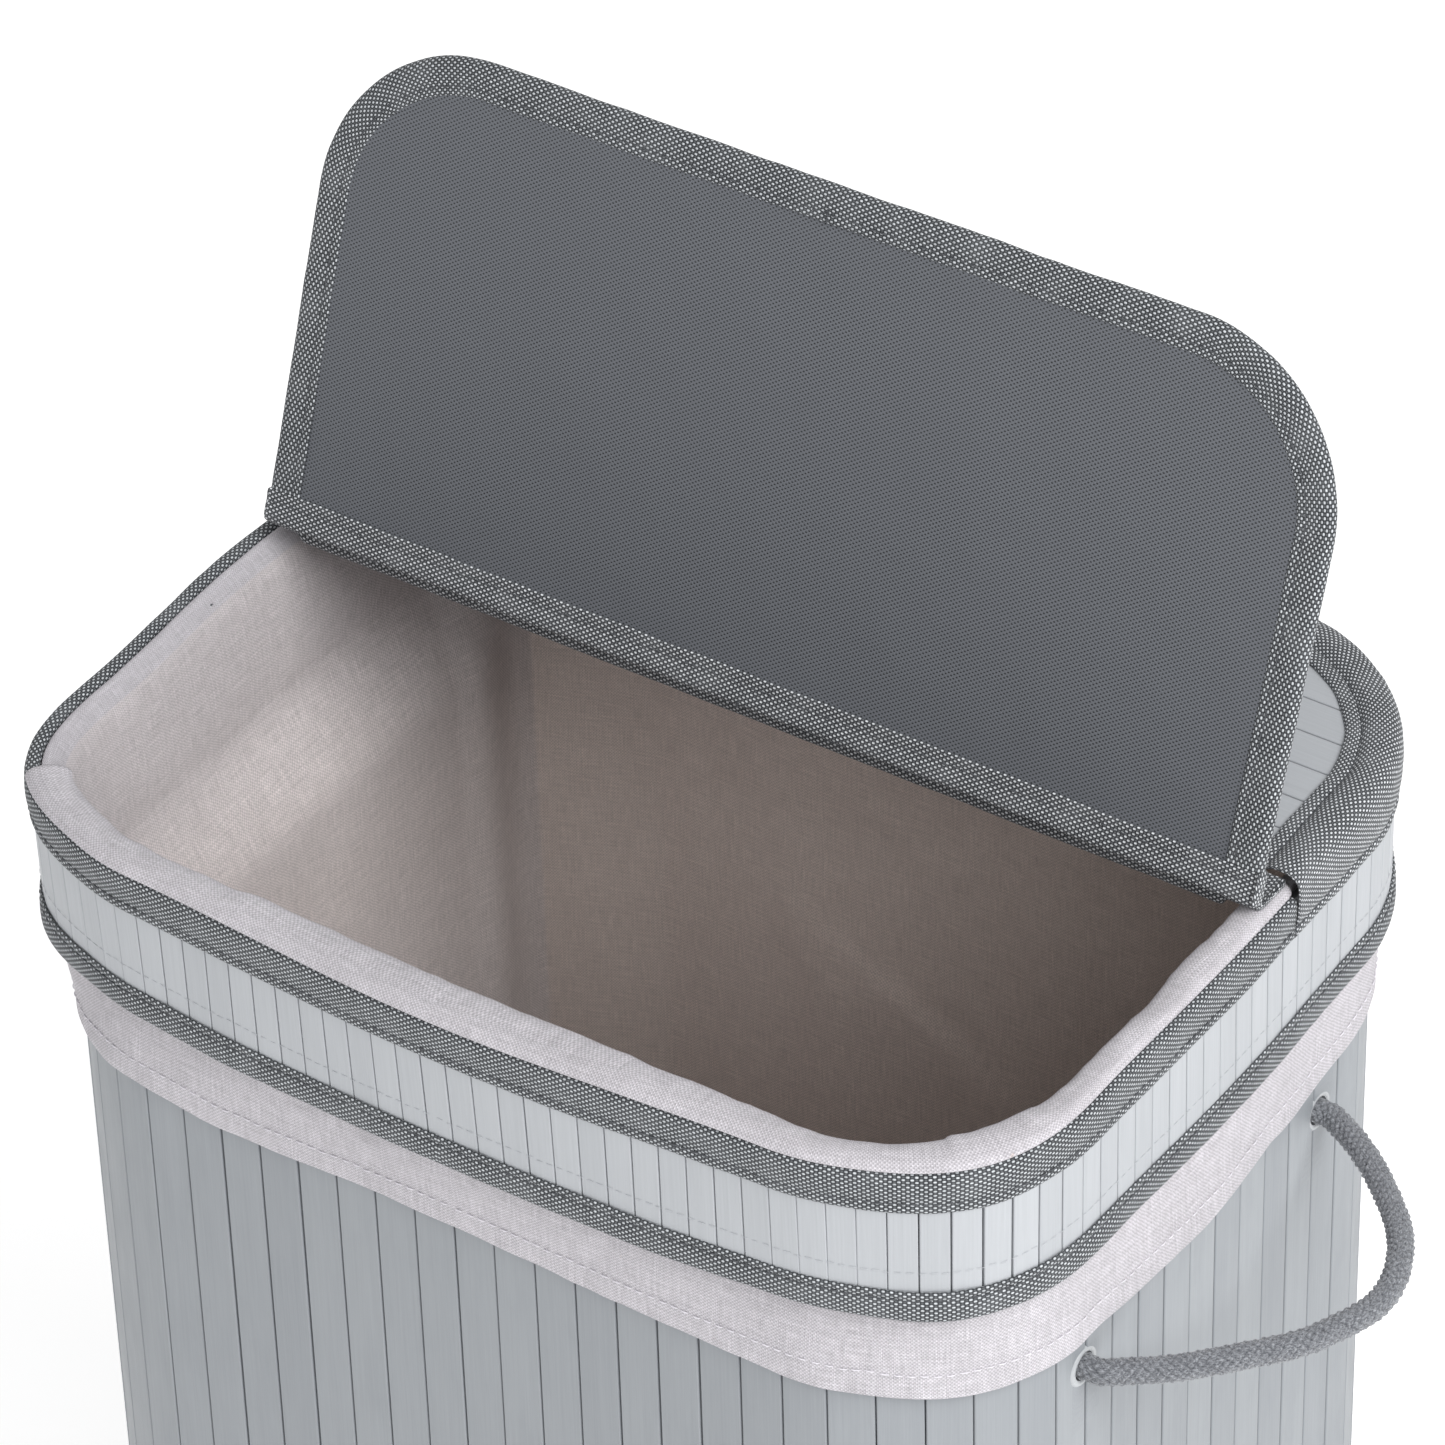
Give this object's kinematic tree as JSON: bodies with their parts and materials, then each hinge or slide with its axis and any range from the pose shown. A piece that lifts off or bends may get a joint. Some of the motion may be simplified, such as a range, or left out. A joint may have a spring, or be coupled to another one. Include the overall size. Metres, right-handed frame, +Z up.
{
  "type": "laundry hamper",
  "caption": "Tall rounded rectangular laundry hamper of grey bamboo slats, with a cotton liner, rope handles and a lift-off slatted lid that has a hinged flap.",
  "frame": {"origin": "on the floor under the middle of the basket", "axes": "+Z up, +X to the right along the long side, front towards -Y"},
  "size_m": [0.5732, 0.3446, 0.8356],
  "materials": {
    "wall_slats": "grey painted bamboo, faint grain",
    "lid_slats": "light grey painted bamboo, faint grain",
    "tape": "coarse woven binding tape, grey and white mottled",
    "lining": "fine dark grey oxford weave",
    "cotton": "plain weave cotton",
    "rope": "braided cotton rope",
    "backing": "thin non-woven cloth",
    "eyelet": "pale moulded eyelet, satin",
    "steel": "flat spring steel strip",
    "board": "thin hardboard, raw"
  },
  "bodies": {
    "basket": {"wall_front_slats": "wall_slats", "wall_right_slats": "wall_slats", "wall_rear_slats": "wall_slats", "wall_left_slats": "wall_slats", "wall_front_right_slats": "wall_slats", "wall_rear_right_slats": "wall_slats", "wall_rear_left_slats": "wall_slats", "wall_front_left_slats": "wall_slats", "wall_backing_cloth": "backing", "basket_top_hoop": "steel", "basket_bottom_hoop": "steel", "basket_top_binding": "tape", "basket_bottom_binding": "tape", "base_cloth": "backing", "base_board": "board", "eyelet_right_front": "eyelet", "eyelet_right_rear": "eyelet", "eyelet_left_front": "eyelet", "eyelet_left_rear": "eyelet", "eyelet_washer_right_front": "eyelet", "eyelet_washer_right_rear": "eyelet", "eyelet_washer_left_front": "eyelet", "eyelet_washer_left_rear": "eyelet", "rope_knot_right_front": "rope", "rope_knot_right_rear": "rope", "rope_knot_left_front": "rope", "rope_knot_left_rear": "rope"},
    "liner": {"liner_cuff": "cotton", "liner_wall": "cotton", "liner_bottom": "cotton"},
    "lid": {"collar_front_slats": "lid_slats", "collar_right_slats": "lid_slats", "collar_rear_slats": "lid_slats", "collar_left_slats": "lid_slats", "collar_front_right_slats": "lid_slats", "collar_rear_right_slats": "lid_slats", "collar_rear_left_slats": "lid_slats", "collar_front_left_slats": "lid_slats", "collar_backing_cloth": "backing", "collar_hoop": "steel", "collar_top_binding": "tape", "collar_bottom_binding": "tape", "rear_cover_binding": "tape", "rear_panel_slats": "lid_slats", "rear_panel_board": "board", "rear_panel_lining": "lining", "rear_panel_front_binding": "tape"},
    "flap": {"flap_slats": "lid_slats", "flap_board": "board", "flap_lining": "lining", "flap_edge_binding": "tape", "flap_hinge_binding": "tape"},
    "handle_right": {"rope_handle_right": "rope"},
    "handle_left": {"rope_handle_left": "rope"}
  },
  "joints": [
    {"name": "liner_lift", "type": "slide", "parent": "basket", "child": "liner", "axis": [0, 0, 1], "range_m": [0, 0.66]},
    {"name": "lid_lift", "type": "slide", "parent": "liner", "child": "lid", "axis": [0, 0, 1], "range_m": [0, 0.12]},
    {"name": "flap_hinge", "type": "hinge", "parent": "lid", "child": "flap", "pos_m": [0, 0.018, 0.6465], "axis": [1, 0, 0], "range_deg": [-62, 110]},
    {"name": "handle_right_swing", "type": "hinge", "parent": "basket", "child": "handle_right", "pos_m": [0.2155, 0, 0.5104], "axis": [0, 1, 0], "range_deg": [-70, 85]},
    {"name": "handle_left_swing", "type": "hinge", "parent": "basket", "child": "handle_left", "pos_m": [-0.2155, 0, 0.5104], "axis": [0, -1, 0], "range_deg": [-70, 85]}
  ]
}
